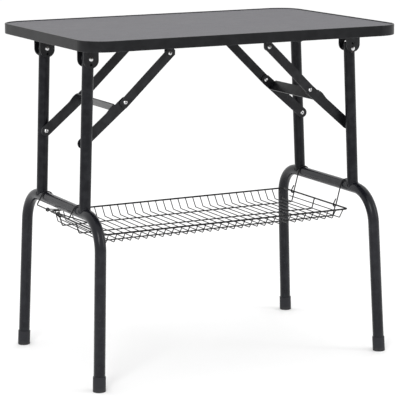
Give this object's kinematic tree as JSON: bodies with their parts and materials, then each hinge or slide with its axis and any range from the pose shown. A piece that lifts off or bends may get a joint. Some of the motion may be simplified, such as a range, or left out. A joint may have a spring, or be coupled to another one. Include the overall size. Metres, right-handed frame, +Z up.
{
  "type": "folding grooming table",
  "caption": "Folding table with a matted, rimmed top on two hinged splayed tube frames, held open by knee braces, with a hanging wire basket.",
  "frame": {"origin": "centre of the footprint on the floor, under the middle of the tabletop", "axes": "+X along the tabletop's length, to the end with the two hooks; +Y to the back; +Z up"},
  "size_m": [0.79, 0.54, 0.78],
  "materials": {
    "board": "raw particle board",
    "mat": "matt, fine pebbled non-slip",
    "band": "satin",
    "tube_steel": "satin powder coat",
    "bracket_steel": "satin powder coat",
    "bright_rivet": "bright zinc plated",
    "zinc": "dull zinc plated",
    "nylon": "smooth",
    "foot_rubber": "matt",
    "coated_wire": "satin plastic coat"
  },
  "bodies": {
    "tabletop": {"tabletop_board": "board", "top_mat": "mat", "edge_band": "band", "hinge_bracket_left_front": "bracket_steel", "hinge_bracket_left_back": "bracket_steel", "hinge_bracket_right_front": "bracket_steel", "hinge_bracket_right_back": "bracket_steel", "hinge_bracket_screws": "zinc", "hinge_rivets": "bright_rivet", "hinge_washers": "nylon", "brace_bracket_left_front": "bracket_steel", "brace_bracket_left_back": "bracket_steel", "brace_bracket_right_front": "bracket_steel", "brace_bracket_right_back": "bracket_steel", "brace_bracket_screws": "zinc", "brace_top_rivets": "zinc"},
    "left_frame": {"upper_leg_left_front": "tube_steel", "upper_leg_left_back": "tube_steel", "lower_frame_left": "tube_steel", "foot_cap_left_front": "foot_rubber", "foot_cap_left_back": "foot_rubber", "leg_rivets_left": "zinc", "leg_spacers_left": "zinc"},
    "left_upper_links": {"upper_link_left_front": "bracket_steel", "upper_link_left_back": "bracket_steel", "knee_rivets_outer_left": "zinc"},
    "left_lower_links": {"lower_link_left_front": "bracket_steel", "lower_link_left_back": "bracket_steel", "brace_strap_left": "bracket_steel", "knee_rivets_inner_left": "zinc"},
    "right_frame": {"upper_leg_right_front": "tube_steel", "upper_leg_right_back": "tube_steel", "lower_frame_right": "tube_steel", "foot_cap_right_front": "foot_rubber", "foot_cap_right_back": "foot_rubber", "leg_rivets_right": "zinc", "leg_spacers_right": "zinc"},
    "right_upper_links": {"upper_link_right_front": "bracket_steel", "upper_link_right_back": "bracket_steel", "knee_rivets_outer_right": "zinc"},
    "right_lower_links": {"lower_link_right_front": "bracket_steel", "lower_link_right_back": "bracket_steel", "brace_strap_right": "bracket_steel", "knee_rivets_inner_right": "zinc"},
    "basket": {"basket_rim": "coated_wire", "basket_long_wires": "coated_wire", "basket_cross_wires": "coated_wire", "basket_end_rails": "coated_wire", "basket_clips": "coated_wire"},
    "left_bail": {"left_bail": "coated_wire"},
    "right_hooks": {"right_hook_front": "coated_wire", "right_hook_back": "coated_wire"}
  },
  "joints": [
    {"name": "left_fold", "type": "hinge", "parent": "tabletop", "child": "left_frame", "pos_m": [-0.3345, 0, 0.7285], "axis": [0, -1, 0], "range_deg": [0, 86.5]},
    {"name": "right_fold", "type": "hinge", "parent": "tabletop", "child": "right_frame", "pos_m": [0.335, 0, 0.716], "axis": [0, 1, 0], "range_deg": [0, 83]},
    {"name": "left_upper_link_pivot", "type": "hinge", "parent": "tabletop", "child": "left_upper_links", "pos_m": [-0.12541, 0, 0.7275], "axis": [0, 1, 0], "range_deg": [0, 42.2]},
    {"name": "right_upper_link_pivot", "type": "hinge", "parent": "tabletop", "child": "right_upper_links", "pos_m": [0.13, 0, 0.7275], "axis": [0, -1, 0], "range_deg": [0, 43.7]},
    {"name": "left_lower_link_pivot", "type": "hinge", "parent": "left_frame", "child": "left_lower_links", "pos_m": [-0.34234, 0, 0.53737], "axis": [0, -1, 0], "range_deg": [0, 47.3]},
    {"name": "right_lower_link_pivot", "type": "hinge", "parent": "right_frame", "child": "right_lower_links", "pos_m": [0.34253, 0, 0.53246], "axis": [0, 1, 0], "range_deg": [0, 39.4]},
    {"name": "left_bail_swing", "type": "hinge", "parent": "left_frame", "child": "left_bail", "pos_m": [-0.34874, 0, 0.3815], "axis": [0, -1, 0], "range_deg": [-86.5, 0]},
    {"name": "right_hook_swing", "type": "hinge", "parent": "right_frame", "child": "right_hooks", "pos_m": [0.34873, 0, 0.3815], "axis": [0, 1, 0], "range_deg": [-83, 0]},
    {"name": "basket_drop", "type": "slide", "parent": "tabletop", "child": "basket", "axis": [0, 0, -1], "range_m": [0, 0.2858]}
  ],
  "couplings": [
    {"joint": "left_upper_link_pivot", "follows": "left_fold", "ratio": 0.4873},
    {"joint": "left_lower_link_pivot", "follows": "left_fold", "ratio": 0.54567},
    {"joint": "left_bail_swing", "follows": "left_fold", "ratio": -1},
    {"joint": "basket_drop", "follows": "left_fold", "m_per_rad": 0.18923},
    {"joint": "right_upper_link_pivot", "follows": "right_fold", "ratio": 0.52554},
    {"joint": "right_lower_link_pivot", "follows": "right_fold", "ratio": 0.4735},
    {"joint": "right_hook_swing", "follows": "right_fold", "ratio": -1}
  ]
}
